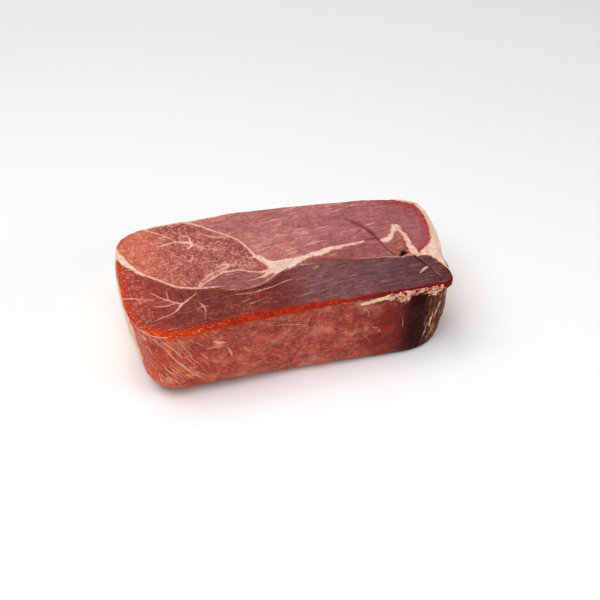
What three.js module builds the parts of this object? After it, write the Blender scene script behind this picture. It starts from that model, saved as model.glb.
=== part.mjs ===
// A boneless block of dry-cured ham: one piece of meat, pressed to a rounded bar and cut flat along its top.
// Millimetres. X runs along the block, Y from the carved front to the rind at the back, Z up.
// The origin is on the surface it rests on, under the middle of the block.
import * as THREE from 'three';
import { ParametricGeometry } from 'three/addons/geometries/ParametricGeometry.js';
import { mergeGeometries, mergeVertices } from 'three/addons/utils/BufferGeometryUtils.js';

const HEIGHT = 72;

// How many faces run along, across and up the block, and how many of those rows turn round the foot.
const ALONG = 76;
const ACROSS = 36;
const ROWS = 12;
const FOOT_ROWS = 4;

// Above the belly the rows draw together towards the rim, more so for a higher value.
const ROW_CROWDING = 1.6;

// Three outlines, from the flat it rests on to the edge of the cut face. Each is a four-cornered bar, in the
// order front left, front right, back right, back left. `round` is where the rounding of that corner starts,
// and `bow` is how far the side that follows it swells outwards at its middle.
const FOOT = [
  { x: -106, y: -28, z: 0, round: 22, bow: 1 },
  { x: 105, y: -38, z: 0, round: 27, bow: 3 },
  { x: 115, y: 50, z: 0, round: 24, bow: 4 },
  { x: -112, y: 52, z: 0, round: 24, bow: 0 },
];
const BELLY = [
  { x: -114.5, y: -52, z: 22, round: 23, bow: -3.5 },
  { x: 107, y: -42.5, z: 22, round: 44, bow: 5 },
  { x: 126, y: 56.5, z: 34, round: 32, bow: 5 },
  { x: -129.5, y: 64.5, z: 30, round: 27, bow: 3.5 },
];
const RIM = [
  { x: -128.5, y: -56.5, z: HEIGHT, round: 47, bow: -3.5 },
  { x: 110, y: -40.5, z: HEIGHT, round: 9, bow: -4.5 },
  { x: 115, y: 51, z: HEIGHT, round: 24, bow: 11 },
  { x: -126.5, y: 58, z: HEIGHT, round: 21, bow: 0.5 },
];
const CORNERS = RIM.length;

// The cut's edge is a little rounded, over this width and drop.
const EDGE_WIDTH = 1.8;
const EDGE_DROP = 0.9;

// Fat seams between the muscles of the cut face, as [x, y] along their middle. Fat dries less than meat, so
// it stands slightly proud, and most in the broad seams.
const SEAMS = [
  { half: 3, proud: 0.5, line: [[-80, 63], [-52, 48], [-38, 36], [-26, 12], [-18, 3]] },
  { half: 4, proud: 1, line: [[-18, 3], [6, 6], [22, 11], [56, 13]] },
  { half: 4, proud: 0.6, line: [[-128, 36], [-117, 21], [-93, -2], [-76, -9], [-58, -11]] },
  { half: 3, proud: 0.8, line: [[68, 11], [77, 17], [83, 25], [87, 6], [88, -5]] },
  { half: 5, proud: 0.7, line: [[92, -4], [108, 4]] },
];

// Folds where two muscles part, each let into the face by its own depth.
const FOLDS = [
  { half: 3.8, depth: 2.2, line: [[50, 42], [61, 27], [67, 9], [78, -6]] },
  { half: 3.6, depth: 1.6, line: [[88, -9], [94, -20], [100, -32]] },
  { half: 3, depth: 0.9, line: [[-22, -12], [3, 0], [20, 4], [48, -2], [78, -7]] },
];
const GAP = { x: 78, y: -5.5, radius: 4.2, depth: 4.5 };

// Whole muscles that dried to a hollow or stand up, by centre, reach and height.
const MUSCLES = [
  { x: 18, y: 40, alongReach: 60, acrossReach: 18, height: -1.2 },
  { x: -76, y: 24, alongReach: 36, acrossReach: 24, height: 0.9 },
  { x: 36, y: -24, alongReach: 60, acrossReach: 14, height: 1.2 },
  { x: 79, y: 8, alongReach: 8, acrossReach: 8, height: -1.2 },
];

// The meat's surface is nowhere flat: a few long waves, each across its own direction, give its unevenness.
const WAVES = [
  { length: 74, turn: 0.5, shift: 0.4, height: 0.5 },
  { length: 47, turn: 2.1, shift: 2.2, height: 0.35 },
  { length: 31, turn: 1.2, shift: 4.1, height: 0.2 },
];
const WALL_WAVE = 1.3;

// The tip of the front right muscle stands out as a lip over a groove in the side below it.
const LIP = { reach: 24, drop: 9, groove: 2.4 };

const corner = (outline, index) => {
  const { x, y, z } = outline[(index + CORNERS) % CORNERS];
  return new THREE.Vector3(x, y, z);
};

// A curve between two points whose middle stands `bow` to the right of the straight way.
function bowed(from, to, bow) {
  const outward = new THREE.Vector3(to.y - from.y, from.x - to.x, 0).normalize();
  const handle = from.clone().lerp(to, 0.5).addScaledVector(outward, 2 * bow);
  return new THREE.QuadraticBezierCurve3(from, handle, to);
}

// One side of an outline, from the middle of one rounded corner to the middle of the next.
function outlineSide(outline, index) {
  const bowAt = (i) => outline[(i + CORNERS) % CORNERS].bow;
  const roundAt = (i) => outline[(i + CORNERS) % CORNERS].round;
  const sideAt = (i) => bowed(corner(outline, i), corner(outline, i + 1), bowAt(i));
  const before = sideAt(index - 1);
  const side = sideAt(index);
  const after = sideAt(index + 1);
  const leave = side.getPointAt(roundAt(index) / side.getLength());
  const arrive = side.getPointAt(1 - roundAt(index + 1) / side.getLength());
  const fromRound = before.getPointAt(1 - roundAt(index) / before.getLength());
  const toRound = after.getPointAt(roundAt(index + 1) / after.getLength());
  const halfRound = (far, peak, near) => ({
    middle: peak.clone().multiplyScalar(2).add(far).add(near).divideScalar(4),
    handle: peak.clone().add(near).divideScalar(2),
  });
  const first = halfRound(fromRound, side.v0, leave);
  const last = halfRound(toRound, side.v2, arrive);
  const straightShare = 1 - (roundAt(index) + roundAt(index + 1)) / side.getLength();
  const path = new THREE.CurvePath();
  path.add(new THREE.QuadraticBezierCurve3(first.middle, first.handle, leave));
  path.add(bowed(leave, arrive, bowAt(index) * straightShare ** 2));
  path.add(new THREE.QuadraticBezierCurve3(arrive, last.handle, last.middle));
  return path;
}

const outlineSides = (outline) => outline.map((_, index) => outlineSide(outline, index));
const foot = outlineSides(FOOT);
const belly = outlineSides(BELLY);
const rim = outlineSides(RIM);

// A share of the way along a side. The first and last face are as narrow as the cut's rounded edge.
function edgeStep(share, steps, side) {
  const narrow = EDGE_WIDTH / rim[side].getLength();
  const step = Math.round(share * steps);
  if (step === 0 || step === steps) return step / steps;
  return narrow + ((step - 1) / (steps - 2)) * (1 - 2 * narrow);
}

function wave(x, y) {
  return WAVES.reduce((sum, { length, turn, shift, height }) => {
    const along = x * Math.cos(turn) + y * Math.sin(turn);
    return sum + height * Math.sin((2 * Math.PI * along) / length + shift);
  }, 0);
}

// How near a point is to a line, as 1 on it and fading to 0 past its half width.
function nearLine(x, y, { half, line }) {
  const point = new THREE.Vector3(x, y, 0);
  const nearest = new THREE.Vector3();
  let distance = Infinity;
  for (let i = 1; i < line.length; i++) {
    const start = new THREE.Vector3(...line[i - 1], 0);
    const end = new THREE.Vector3(...line[i], 0);
    new THREE.Line3(start, end).closestPointToPoint(point, true, nearest);
    distance = Math.min(distance, nearest.distanceTo(point));
  }
  return Math.exp(-((distance / half) ** 2));
}

function cutRelief(x, y) {
  let height = wave(x, y);
  height += Math.max(...SEAMS.map((seam) => seam.proud * nearLine(x, y, seam)));
  height -= Math.max(...FOLDS.map((fold) => fold.depth * nearLine(x, y, fold)));
  for (const muscle of MUSCLES) {
    const u = (x - muscle.x) / muscle.alongReach;
    const v = (y - muscle.y) / muscle.acrossReach;
    height += muscle.height * Math.exp(-(u * u + v * v));
  }
  const gap = Math.hypot(x - GAP.x, y - GAP.y) / GAP.radius;
  return height - GAP.depth * Math.exp(-gap * gap);
}

// The cut face: a patch between the rim's four sides, with its relief.
function cutFace(u, v, target) {
  const s = edgeStep(u, ALONG, 0);
  const t = edgeStep(v, ACROSS, 1);
  const [frontLeft, frontRight, backRight, backLeft] = rim.map((side) => side.getPoint(0));
  target.set(0, 0, 0);
  target.addScaledVector(rim[0].getPoint(s), 1 - t).addScaledVector(rim[2].getPoint(1 - s), t);
  target.addScaledVector(rim[3].getPoint(1 - t), 1 - s).addScaledVector(rim[1].getPoint(t), s);
  target.addScaledVector(frontLeft, -(1 - s) * (1 - t)).addScaledVector(frontRight, -s * (1 - t));
  target.addScaledVector(backRight, -s * t).addScaledVector(backLeft, -(1 - s) * t);
  const onEdge = s === 0 || s === 1 || t === 0 || t === 1;
  target.z += onEdge ? wave(target.x, target.y) - EDGE_DROP : cutRelief(target.x, target.y);
}

// Where a share of the way round falls: the side, and how far along it.
function roundTheBlock(share) {
  const counts = [ALONG, ACROSS, ALONG, ACROSS];
  const steps = 2 * (ALONG + ACROSS);
  let step = Math.round(share * steps) % steps;
  let side = 0;
  while (step >= counts[side]) {
    step -= counts[side];
    side += 1;
  }
  return { side, along: edgeStep(step / counts[side], counts[side], side % 2) };
}

// The outside: a round foot that turns up to the belly, then a side that leans out or in to the rim.
function wall(u, v, target) {
  const { side, along } = roundTheBlock(u);
  const low = foot[side].getPoint(along);
  const middle = belly[side].getPoint(along);
  const high = rim[side].getPoint(along);
  high.z += wave(high.x, high.y) - EDGE_DROP;
  const way = belly[side].getTangent(along);
  const outward = new THREE.Vector3(way.y, -way.x, 0).normalize();
  const row = Math.round(v * ROWS);
  if (row <= FOOT_ROWS) {
    const angle = ((row / FOOT_ROWS) * Math.PI) / 2;
    target.lerpVectors(low, middle, Math.sin(angle));
    target.z = middle.z * (1 - Math.cos(angle));
  } else {
    const edge = EDGE_WIDTH / (HEIGHT - middle.z);
    const step = (row - FOOT_ROWS) / (ROWS - 1 - FOOT_ROWS);
    const crowded = 1 - Math.max(0, 1 - step) ** ROW_CROWDING;
    const rise = row === ROWS ? 1 : crowded * (1 - edge);
    target.lerpVectors(middle, high, rise * rise);
    target.z = THREE.MathUtils.lerp(middle.z, high.z, rise);
    const fromTip = rim[1].getPoint(0).distanceTo(high) / LIP.reach;
    const below = (high.z - target.z) / LIP.drop;
    const groove = LIP.groove * (below * Math.exp(1 - below)) ** 3;
    target.addScaledVector(outward, -groove * Math.exp(-(fromTip ** 2)));
  }
  const hold = Math.sin((Math.PI * target.z) / high.z);
  target.addScaledVector(outward, WALL_WAVE * hold * wave(target.x + target.z, target.y - target.z));
}

// The flat it rests on, facing down.
function restingFace() {
  const steps = 2 * (ALONG + ACROSS);
  const face = new THREE.CircleGeometry(1, steps);
  for (let step = 0; step <= steps; step++) {
    const { side, along } = roundTheBlock(step / steps);
    const edge = foot[side].getPoint(along);
    face.attributes.position.setXYZ(step + 1, edge.x, edge.y, edge.z);
  }
  face.setIndex(Array.from(face.index.array).reverse());
  return face;
}

function hamGeometry() {
  const faces = [
    new ParametricGeometry(cutFace, ALONG, ACROSS),
    new ParametricGeometry(wall, 2 * (ALONG + ACROSS), ROWS),
    restingFace(),
  ];
  for (const face of faces) {
    face.deleteAttribute('normal');
    face.deleteAttribute('uv');
  }
  const closed = mergeVertices(mergeGeometries(faces), 1e-3);
  closed.computeBoundingBox();
  const middle = closed.boundingBox.getCenter(new THREE.Vector3());
  closed.translate(-middle.x, -middle.y, 0);
  closed.computeVertexNormals();
  return closed;
}

const curedMeat = new THREE.MeshStandardMaterial({ color: 0xb05f55, roughness: 0.5, metalness: 0 });
const ham = new THREE.Mesh(hamGeometry(), curedMeat);
ham.name = 'ham';

const hamBlock = new THREE.Group();
hamBlock.add(ham);

export default hamBlock;
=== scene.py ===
"""A boneless block of dry-cured ham: its cut face with the fat seams, its carved side and its rind, in a studio.

The block is a finely divided copy of the solid. Its seams, folds and muscles are drawn on it in millimetres,
as attributes of its points, and the materials read those.
"""

import math

import bmesh
import bpy
import numpy as np
from bpy.props import FloatProperty, FloatVectorProperty, PointerProperty
from mathutils import Matrix, Vector, kdtree, noise


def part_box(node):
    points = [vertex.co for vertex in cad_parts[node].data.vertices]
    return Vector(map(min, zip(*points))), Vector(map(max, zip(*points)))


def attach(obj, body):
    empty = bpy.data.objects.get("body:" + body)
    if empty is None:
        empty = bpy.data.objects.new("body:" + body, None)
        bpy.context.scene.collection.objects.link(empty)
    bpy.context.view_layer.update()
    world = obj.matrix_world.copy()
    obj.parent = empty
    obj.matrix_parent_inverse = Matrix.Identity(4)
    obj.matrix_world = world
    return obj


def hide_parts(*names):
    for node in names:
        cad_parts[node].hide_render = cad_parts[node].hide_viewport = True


bl_info = {
    "name": "Cured ham block",
    "version": (1, 0, 0),
    "blender": (4, 5, 0),
    "location": "3D Viewport > Sidebar > Ham",
    "description": "Makes a block of dry-cured ham and the studio it is shown in",
    "category": "Object",
}

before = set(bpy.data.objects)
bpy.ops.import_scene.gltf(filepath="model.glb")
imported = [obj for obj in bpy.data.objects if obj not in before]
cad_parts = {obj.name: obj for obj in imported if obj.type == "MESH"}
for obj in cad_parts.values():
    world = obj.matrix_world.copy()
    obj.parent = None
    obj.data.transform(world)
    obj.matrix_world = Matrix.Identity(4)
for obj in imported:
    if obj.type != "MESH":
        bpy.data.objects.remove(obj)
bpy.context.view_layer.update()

HAM = "ham"
MM = 0.001
LOW, HIGH = (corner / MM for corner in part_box(HAM))

# The block is divided this many times. At two, its points lie about 0.8 mm apart on the cut face.
DIVISIONS = 2
CUT_MATERIAL, SIDE_MATERIAL = 0, 1
NOWHERE = 99.0

# Fat seams of the cut face, as (x, y, half width) along their middle.
FAT_SEAMS = {
    "left muscle, lower edge": [(-112, 8.6, 1.5), (-107, 4.5, 1), (-96, -5, 0.8), (-86, -13.4, 0.7), (-73, -17.4, 0.8),
                                (-62, -18.4, 0.6), (-52, -18.6, 0.3)],
    "trunk": [(36, 2.8, 1.9), (43, 4.4, 1.4), (50, 4.7, 1.2), (57, 6, 1)],
    "upper arm": [(-17, -2, 2.4), (-21, 2.5, 1.9), (-25, 8, 1.2), (-28.6, 16.4, 0.9), (-36.4, 29.5, 0.8),
                  (-50, 40.7, 0.9), (-64, 50.9, 1), (-78, 56, 1.6)],
    "upper arm, second": [(-59.1, 40.8, 0.4), (-55.1, 36.5, 0.5), (-48.7, 33.8, 0.6), (-40, 31.5, 0.4)],
    "lower arm": [(-17, -9.5, 1.9), (-24, -9.6, 1), (-31.8, -7.3, 0.7), (-39.1, -4.1, 0.8), (-45.9, -5, 0.9),
                  (-51.2, -5.1, 0.9), (-56.4, -7.9, 0.8), (-63.7, -12, 0.8), (-68.2, -15.1, 0.7), (-72.6, -17.9, 0.6)],
    "lower arm, second": [(-46, 0, 0.8), (-50.6, -1.6, 0.8), (-55.6, -3.6, 0.6), (-60.7, -5.9, 0.6), (-66, -9.8, 0.6),
                          (-70.7, -14.6, 0.4)],
    "under the trunk": [(-22, -14.6, 0.7), (-28.8, -15.3, 0.5), (-37.2, -17.3, 0.3)],
    "lower line": [(-47.1, -28.9, 0.3), (-36.4, -30, 0.4), (-27.6, -28.1, 0.5), (-18.7, -26.2, 0.4), (-9.4, -22.9, 0.4),
                   (-4, -22.4, 0.2)],
    "second lower line": [(-41.2, -25.2, 0.2), (-33, -23, 0.3), (-26.2, -21.6, 0.3), (-19.3, -17.1, 0.4),
                          (-13.9, -13.8, 0.5)],
    "from the left rim": [(-126, -15.5, 0.7), (-118, -17.6, 0.5), (-111, -19.8, 0.4), (-103, -21.5, 0.3)],
    "hook": [(-105.3, -13.5, 0.3), (-98.4, -21.5, 0.5), (-91, -26, 0.6), (-84.8, -29, 0.7), (-78.4, -25, 0.5),
             (-73.5, -22, 0.4)],
    "hook's barb": [(-94, -14.7, 0.3), (-94.2, -24.5, 0.4)],
    "hook's root": [(-105, -28, 0.3), (-97, -28.8, 0.4), (-88, -27.7, 0.5)],
    "tail": [(-84.8, -29, 0.7), (-91.6, -36, 0.5), (-101.9, -39.9, 0.4), (-108, -42.5, 0.2)],
    "small fork": [(-73, -31, 0.3), (-71, -34.4, 0.5), (-70.1, -38.3, 0.4), (-72, -48, 0.2)],
    "fork's twig": [(-76, -37, 0.2), (-71, -34.4, 0.4), (-67, -36, 0.2)],
    "branch": [(-93.1, 30.1, 0.5), (-87.6, 32, 0.7), (-79.8, 32.9, 0.6), (-73.2, 31.8, 0.9), (-68.6, 29.6, 1)],
    "branch, crossing": [(-74, 38.8, 0.5), (-69.3, 36.6, 0.7), (-68.9, 31.2, 1.3), (-68.6, 27.3, 1.1),
                         (-72.5, 24.6, 0.5)],
    "branch to the rim": [(-104, 53, 1.2), (-97, 48.7, 0.8), (-88.6, 42.4, 0.6), (-79, 34, 0.4)],
    "twig 1": [(-80, 44.8, 0.3), (-72, 39, 0.5), (-66, 39.6, 0.2)],
    "twig 2": [(-69.7, 16.8, 0.6), (-71, 11.6, 0.7), (-75, 10.6, 0.4)],
    "twig 3": [(-66, 28.1, 0.5), (-61, 23, 0.4), (-57, 21.4, 0.5), (-53.5, 23, 0.2)],
    "twig 4": [(-62.6, 42.8, 0.3), (-55.1, 36, 0.4), (-47, 31.5, 0.3)],
    "twig 5": [(-85, 21, 0.3), (-80, 16.5, 0.4), (-76, 11.4, 0.2)],
    "twig 6": [(-92, -3, 0.2), (-90, 3, 0.3), (-84, 6, 0.2)],
    "haze": [(-57, -1, 0.2), (-52.5, 1.6, 0.6), (-47.5, 2.6, 1), (-43, 1.6, 0.5), (-36, 1.6, 0.2)],
    "twig 7": [(-40, 12, 0.2), (-30, 7.5, 0.4), (-23, 6, 0.5)],
    "short mark 1": [(-44, -38, 0.3), (-37.7, -35.6, 0.35)],
    "short mark 2": [(-38.7, -40.6, 0.3), (-30.9, -38.2, 0.35)],
    "short mark 3": [(13.5, -15.5, 0.3), (17.5, -13.4, 0.6)],
    "short mark 4": [(6, -8.5, 0.6), (12, -9.4, 0.4), (17, -9, 0.2)],
    "knuckle, left": [(70.6, 5.6, 1.2), (72.6, 5, 2.1), (75, 5, 2.3), (78, 7, 1.9), (80.6, 10, 1.5), (82.6, 13.4, 2.4),
                      (84.3, 15.6, 3.5), (85.6, 16, 3)],
    "knuckle, right": [(85.4, 14.5, 1.9), (87.2, 11, 1.4), (88.9, 6, 1.8), (89.6, 0, 1.9), (89.5, -6.6, 2.2),
                       (90.8, -12.6, 2.8), (93, -16.4, 1.2)],
    "dark muscle's edge": [(44, -8.8, 0.2), (57, -10.4, 0.3), (70, -12.6, 0.4), (80, -14.8, 0.5), (90, -15.5, 0.5)],
    "end muscle's fleck": [(88.8, -34.4, 0.6), (91.6, -32.2, 0.9), (96.4, -28.9, 0.8)],
    "crease's light edge": [(98.9, -31.3, 0.1), (102.3, -37.6, 0.2), (104, -40.5, 0.1)],
    "back rim, left": [(-112, 49.6, 0.7), (-98, 53, 1.4), (-84, 55, 2.2), (-72, 55.4, 2.3), (-50, 57, 1.4), (-20, 58.6, 1)],
}

# Where the outer fat reaches the cut face, as outlines in [x, y].
FAT_PATCHES = {
    "left wedge": [(-134, 44), (-123.1, 38.3), (-120.8, 29.1), (-118.2, 23.4), (-116.2, 18.3), (-112.4, 12.9),
                   (-107, 5.2), (-108.5, 4), (-113.5, 9.7), (-116.9, 13.1), (-121, 16.8), (-125.3, 26), (-134, 28)],
    "trunk": [(-24.4, 6.5), (-22.1, 8.8), (-19.4, 6.6), (-17.4, 3.5), (-13.7, -0.2), (-9.7, -0.5), (-4.3, -0.1),
              (0.8, -1.2), (4.9, -0.9), (10.4, -0.4), (15.7, 1.6), (21.1, 1.9), (24.8, 3), (30, 4.6), (38, 5),
              (38, 1.4), (31, 0.3), (26.5, -1.4), (22, -2.9), (18, -2.8), (12.9, -3.6), (9, -5), (5, -7), (1, -9.2),
              (-3, -10.4), (-6.6, -10.9), (-9.7, -12.4), (-13.4, -14.2), (-15.4, -12.2), (-22, -14.8), (-28, -15.6),
              (-22.5, -12.2), (-17.6, -9.4), (-19, -5), (-20.6, -0.5), (-22.4, 3)],
    "right wedge": [(86, 49.6), (93, 45.6), (99.8, 42.2), (106.2, 39), (109, 32.8), (110.8, 24), (110.2, 15.6),
                    (108.4, 5.2), (106.9, -2.4), (102.2, -8.5), (98.8, -10.8), (95, -14.3), (92.6, -17), (97.6, -18),
                    (101.3, -19.8), (103.7, -24), (107.2, -30), (110.5, -37), (126, -37), (130, 30), (112, 56)],
}

# The other muscles lie on the back muscle. Their outlines run past the rim where they reach it.
FRONT_EDGE = [(-136, 29), (-125.3, 26.5), (-121, 17.4), (-113.5, 10.4), (-107, 4.6), (-96, -5.8), (-86.6, -14.4),
              (-73.3, -18), (-58, -19.5), (-46, -24.5), (-33, -24.5), (-20, -20.6), (-9.7, -14.8), (1, -9.6),
              (9, -7.8), (22.1, -5.6), (37.5, -8.8), (64.2, -11.4), (80, -14.8), (90.7, -16.4), (97, -18), (102, -20),
              (104.5, -25), (112, -38)]
MUSCLES = {
    "front": [*FRONT_EDGE, (136, -38), (136, -80), (-136, -80)],
    "band": [(62, 5.4), (68.9, 1.6), (73, -7), (80, -14.8), *FRONT_EDGE[-7:6:-1], (-63, -11.8), (-50, -5),
             (-35, -6.4), (-22, -9), (-13, -5), (8.7, -1.7), (30, 3.6)],
    "left": [(-136, 38), (-121, 32), (-116, 18.8), (-107, 6), (-90, -9.6), (-80, -15.4), (-72, -17), (-63, -11.8),
             (-50, -5), (-35, -6.4), (-22, -9), (-17, -5), (-24, 5), (-28.6, 16.4), (-36.4, 29.5), (-50, 40.7),
             (-64, 50.9), (-80, 66), (-136, 66)],
    "knuckle": [(73, 2), (80, 8), (85, 15), (88.5, 5), (90, -12), (81, -13.4), (76, -9)],
}

# Folds between muscles, as (x, y, half width), and how deep each is and how dark its painted shade is.
FOLDS = [
    {"line": [(51, 35.6, 0.5), (57, 28.2, 0.7), (62.6, 20.6, 0.9), (66.4, 13.4, 1), (69, 7, 1.1)], "depth": 0.6, "dark": 0.7},
    {"line": [(69, 7, 0.9), (70.4, 2, 0.8), (73.4, -5, 0.6), (77, -10.4, 0.6)], "depth": 0.6, "dark": 0.75},
    {"line": [(58, 7.6, 0.4), (62.5, 9, 0.8), (67.5, 8.6, 0.8)], "depth": 0.5, "dark": 0.8},
    {"line": [(-42.8, -26.6, 0.8), (-33.4, -25.1, 1.2), (-26.6, -23.6, 1.3), (-19.4, -20.7, 1.6), (-13.2, -16.4, 1.8),
              (-7.2, -13.1, 1.3), (0, -11, 0.6)], "depth": 0.35, "dark": 0.62},
    {"line": [(89.6, -15.4, 0.8), (91.8, -19.7, 0.8), (94, -23.4, 0.8), (96.6, -27.8, 0.6), (99, -31.5, 0.3)],
     "depth": 0.6, "dark": 0.85},
    {"line": [(99, -31.5, 0.9), (102.3, -37.6, 0.8), (104.5, -41.5, 0.5)], "depth": 0.35, "dark": 0.3},
    {"line": [(20, -4.8, 0.5), (38, -8.6, 0.5), (60, -11.8, 0.4)], "depth": 0.2, "dark": 0.25},
    {"line": [(72, -28, 0.5), (80, -31, 0.7), (90, -30.6, 0.4)], "depth": 0.15, "dark": 0.35},
]
# The solid's wide hollows are partly filled, so that the folds and the gap in them stay narrow.
FILLED = [
    {"line": [(52.4, 34.3, 3.8), (63.4, 19.3, 3.8), (69.4, 1.3, 3.8), (77, -9, 3.8)], "height": 1.5},
    {"line": [(79.6, -13.6, 4.4), (81.6, -13.2, 4.4)], "height": 3.3},
]
GAP = {"outline": [(79.6, -13.4), (80.8, -10), (82.8, -7.9), (84.2, -9.6), (85.7, -12.2)], "depth": 3.6}

# Bright red along the rim, the meat's own red with painted glow of light through the thin rim: how wide it is at each x
# of the front, and along other edges as (x, y, half width).
RED_EDGE_AT = [-126, -118, -108, -98, -77, -50, -30, -12, 4, 12, 20, 28, 40, 60, 80, 104, 112]
RED_EDGE_WIDTH = [14, 12, 11.5, 11, 9.8, 9.4, 9, 7.6, 6.6, 5.2, 4, 2.6, 2, 2, 2.1, 2.3, 2.6]
# How far that red, with its painted glow, turns down over the rim, at each x.
RED_TURN_AT = [-60, 30, 45, 60, 100, 106, 111]
RED_TURN = [0.5, 0.8, 2.8, 1.6, 0.8, 5, 9]
RED_LINES = {
    "fold's edge": [(52, 36.2, 0.5), (58.4, 28.4, 0.7), (64, 20.6, 0.8), (67.6, 13.6, 0.9)],
    "fold's left": [(50, 34.4, 0.4), (56, 27, 0.5), (61.4, 19.4, 0.6), (65, 12.6, 0.7)],
    "knuckle": [(86.4, 7.4, 0.7), (87.4, 2, 0.9), (87.2, -4, 1.1), (86, -8, 1.5)],
    "knuckle, low": [(76, -3, 0.8), (78.6, -6, 1.3), (81, -7.4, 1.2)],
    "trunk": [(14, -6.8, 0.5), (22, -5.6, 0.8), (34, -7.8, 0.5), (52, -9.8, 0.4), (66, -11.6, 0.4)],
}

# The back muscle's round end, red along its rim and softly paler inwards.
RED_END = [(72, 52, 0.5), (88, 46.6, 1.4), (99.4, 41.2, 2.4), (105.6, 37.6, 3), (108.6, 31, 3.4), (110, 24, 3),
           (109.4, 15, 2.2), (107.4, 5, 1.8), (104.6, -2.6, 1.4), (99.6, -9, 1.6), (95, -12.6, 2.2), (93.4, -14.4, 1.2)]

# Where the marbling is dense, as (x, y, reach).
MARBLED = {
    "above the lower arm": [(-66, -8, 2.5), (-56, -2, 4.5), (-47, 3, 5.5), (-36, 1, 5), (-27, -2, 3)],
    "round the branch": [(-80, 34, 3), (-70, 29, 6), (-58, 22, 6), (-46, 20, 4)],
    "left front": [(-112, -22, 7), (-98, -26, 9), (-84, -30, 9), (-72, -36, 7)],
}

# White specks on the carved front, as (x, z, reach).
SPECKS = {
    "long patch": [(26, 42, 1.6), (33, 37, 3.6), (40, 37, 2.4), (47, 41, 3.4), (54, 36, 1.6), (58, 31, 1)],
    "under it": [(32, 31, 1.5), (40, 29, 1.2)],
    "under the crust": [(64, 60, 2), (71, 57.6, 2.4), (78, 61, 1.4)],
    "low": [(-9, 28, 1.2), (24, 16, 1.2)],
    "middle": [(-66, 54, 2.4), (-59, 52, 2)],
}

# Pale sinews in the carved front, and painted highlights on its dried right end, as (x, z, half width).
FRONT_SINEWS = {
    "under the rim": [(-114, 70.6, 0.4), (-104, 70.8, 0.8), (-94, 70.6, 0.6), (-84, 70.6, 0.2)],
    "long 1": [(-112, 69, 0.3), (-106.7, 63.2, 0.4), (-100.8, 54.7, 0.45), (-94.8, 44.4, 0.5), (-89.7, 37.8, 0.6),
               (-83.1, 24.1, 0.3)],
    "long 2": [(-109, 66.9, 0.3), (-100.7, 55.7, 0.3), (-96, 47.5, 0.2)],
    "long 3": [(-102.2, 65.2, 0.3), (-95.5, 55.4, 0.4), (-90.6, 47.5, 0.3)],
    "long 4": [(-94.9, 70.6, 0.2), (-88.8, 57.2, 0.35), (-83.8, 46.6, 0.2)],
    "long 5": [(-104.1, 41.2, 0.3), (-101.8, 34.8, 0.5), (-96.8, 29.3, 0.4)],
    "long 6": [(-89, 37.5, 0.3), (-85.8, 29.6, 0.5), (-80.4, 23.2, 0.4), (-74.2, 16.3, 0.2)],
    "long 7": [(-86, 35, 0.2), (-80, 27.6, 0.35), (-71.6, 19.4, 0.2)],
    "long 8": [(-113.7, 55.8, 0.5), (-110.5, 48.9, 0.3)],
    "long 9": [(-98, 40, 0.2), (-93, 31, 0.3), (-88, 22, 0.2)],
    "spot": [(-115.6, 64.6, 0.6), (-114.6, 62.6, 0.6)],
    "cross 1": [(-68.4, 58.7, 0.4), (-64, 56, 0.9), (-59.4, 53.8, 0.5)],
    "cross 2": [(-58.1, 48.4, 0.3), (-56, 43, 0.6), (-54.8, 38.2, 0.4)],
    "cross 3": [(-72, 52.6, 0.4), (-65, 52, 0.5)],
    "cross 4": [(-78.2, 49, 0.3), (-72.3, 40.8, 0.35)],
    "cross 5": [(-46.2, 44.1, 0.4), (-42, 38.7, 0.25)],
    "fine 1": [(-22, 60, 0.2), (-8, 57, 0.3), (2, 53, 0.2)],
    "fine 2": [(-40, 24, 0.2), (-33, 24.5, 0.3)],
    "painted highlight 1": [(104.6, 45, 0.3), (103.2, 37, 0.7), (101.8, 30, 0.4)],
    "painted highlight 2": [(99.6, 36, 0.3), (98.4, 30, 0.8), (97.8, 22, 0.4)],
    "painted highlight 3": [(73.6, 43, 0.1), (74.2, 38, 0.25), (74.7, 31, 0.1)],
    "painted highlight 4": [(102.6, 22, 0.2), (100, 14, 0.4), (96, 9, 0.2)],
    "painted highlight 5": [(95.6, 26, 0.2), (94.8, 18, 0.4), (93.6, 12, 0.2)],
    "under the crust": [(44, 60, 0.1), (46.6, 55, 0.25), (47.5, 48.6, 0.1)],
}

# The rind on the left end, and the crust under the front rim, as outlines in [y, z] and [x, z].
LEFT_RIND = [(70, 80), (27, 80), (24, 57), (8, 50), (-10, 50), (-24, 60), (-26, 80), (-38, 80), (-33, 60), (-28, 44),
             (-31, 36), (-38, 26), (-28, 20), (-14, 14), (0, -5), (70, -5)]
CRUST = [(39, 66), (44, 67.2), (58.7, 69), (63, 70.8), (76, 70.9), (96, 71), (102.4, 71.4), (103.4, 66), (101.8, 57.4),
         (96, 58.8), (90, 62.4), (85, 66), (79, 64), (76, 60.4), (70.5, 59.6), (66, 61.4), (60.5, 65.2), (48, 64.2),
         (41, 63.6)]

# How every meat and fat surface takes the light, by the names of the shader's own inputs.
SURFACE = {
    "IOR": 1.45,
    "Subsurface Weight": 0.1,
    "Subsurface Radius": (1.0, 0.35, 0.2),
    "Subsurface Scale": 2 * MM,
}


def linear(red, green, blue):
    """A colour given as the usual 0 to 255 values, in Blender's linear values."""
    def one(value):
        value /= 255
        return value / 12.92 if value <= 0.04045 else ((value + 0.055) / 1.055) ** 2.4
    return one(red), one(green), one(blue)


def colour(name, description, default):
    return FloatVectorProperty(
        name=name, description=description, default=default, min=0, max=1, size=3, subtype="COLOR")


def length(name, description, default):
    return FloatProperty(name=name, description=description, default=default * MM, unit="LENGTH", precision=4)


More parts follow.
